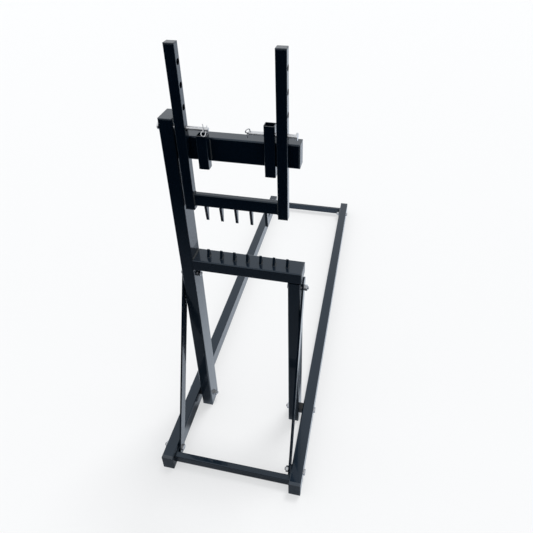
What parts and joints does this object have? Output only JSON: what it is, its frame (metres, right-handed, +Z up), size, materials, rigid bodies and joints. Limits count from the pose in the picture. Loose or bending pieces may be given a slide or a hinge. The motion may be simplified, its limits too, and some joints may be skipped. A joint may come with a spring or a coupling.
{
  "type": "log saw stand",
  "caption": "Black steel stand that holds logs for sawing: long floor rails, braced uprights, a toothed rest beam and a pinned, swinging toothed jaw above it.",
  "frame": {"origin": "on the floor, in the middle of the rectangle of the two floor rails", "axes": "+X to the right as the picture shows the front, +Y from the front crossbar to the rear crossbar, +Z up"},
  "size_m": [0.5004, 1.66, 1.3938],
  "materials": {
    "powder_coat": "semi-gloss black powder coat",
    "cap_plastic": "moulded black plastic",
    "zinc": "bright zinc plate"
  },
  "bodies": {
    "stand_frame": {"left_rail": "powder_coat", "right_rail": "powder_coat", "rail_end_caps": "cap_plastic", "front_crossbar": "powder_coat", "rear_crossbar": "powder_coat", "crossbar_tabs": "powder_coat", "main_post": "powder_coat", "post_caps": "cap_plastic", "right_leg": "powder_coat", "leg_foot_cap": "cap_plastic", "leg_spacers": "cap_plastic", "left_brace": "powder_coat", "right_brace": "powder_coat", "lower_beam": "powder_coat", "lower_beam_cap": "cap_plastic", "lower_jaw_teeth": "powder_coat", "head_beam": "powder_coat", "head_beam_cap": "cap_plastic", "left_guide_tube": "powder_coat", "right_guide_tube": "powder_coat", "lower_brace_bolts": "zinc", "rear_tab_bolts": "zinc", "foot_bolts": "zinc", "upper_brace_bolts": "zinc", "bolt_nuts": "zinc", "bolt_washers": "zinc"},
    "upper_jaw": {"jaw_left_post": "powder_coat", "jaw_right_post": "powder_coat", "jaw_crossbar": "powder_coat", "upper_jaw_teeth": "powder_coat", "jaw_post_caps": "cap_plastic"},
    "left_pin": {"left_lock_pin": "zinc"},
    "right_pin": {"right_lock_pin": "zinc"},
    "left_clip": {"left_retaining_clip": "zinc"},
    "right_clip": {"right_retaining_clip": "zinc"}
  },
  "joints": [
    {"name": "jaw_swing", "type": "hinge", "parent": "stand_frame", "child": "upper_jaw", "pos_m": [0, -0.56495, 1.175], "axis": [-1, 0, 0], "range_deg": [0, 100]},
    {"name": "left_pin_pull", "type": "slide", "parent": "stand_frame", "child": "left_pin", "axis": [-1, 0, 0], "range_m": [0, 0.03]},
    {"name": "right_pin_pull", "type": "slide", "parent": "stand_frame", "child": "right_pin", "axis": [1, 0, 0], "range_m": [-0.015, 0.03]},
    {"name": "left_clip_pull", "type": "slide", "parent": "left_pin", "child": "left_clip", "axis": [0, -0.7071, -0.7071], "range_m": [0, 0.04]},
    {"name": "right_clip_pull", "type": "slide", "parent": "right_pin", "child": "right_clip", "axis": [0, -0.5, 0.866], "range_m": [0, 0.04]}
  ]
}
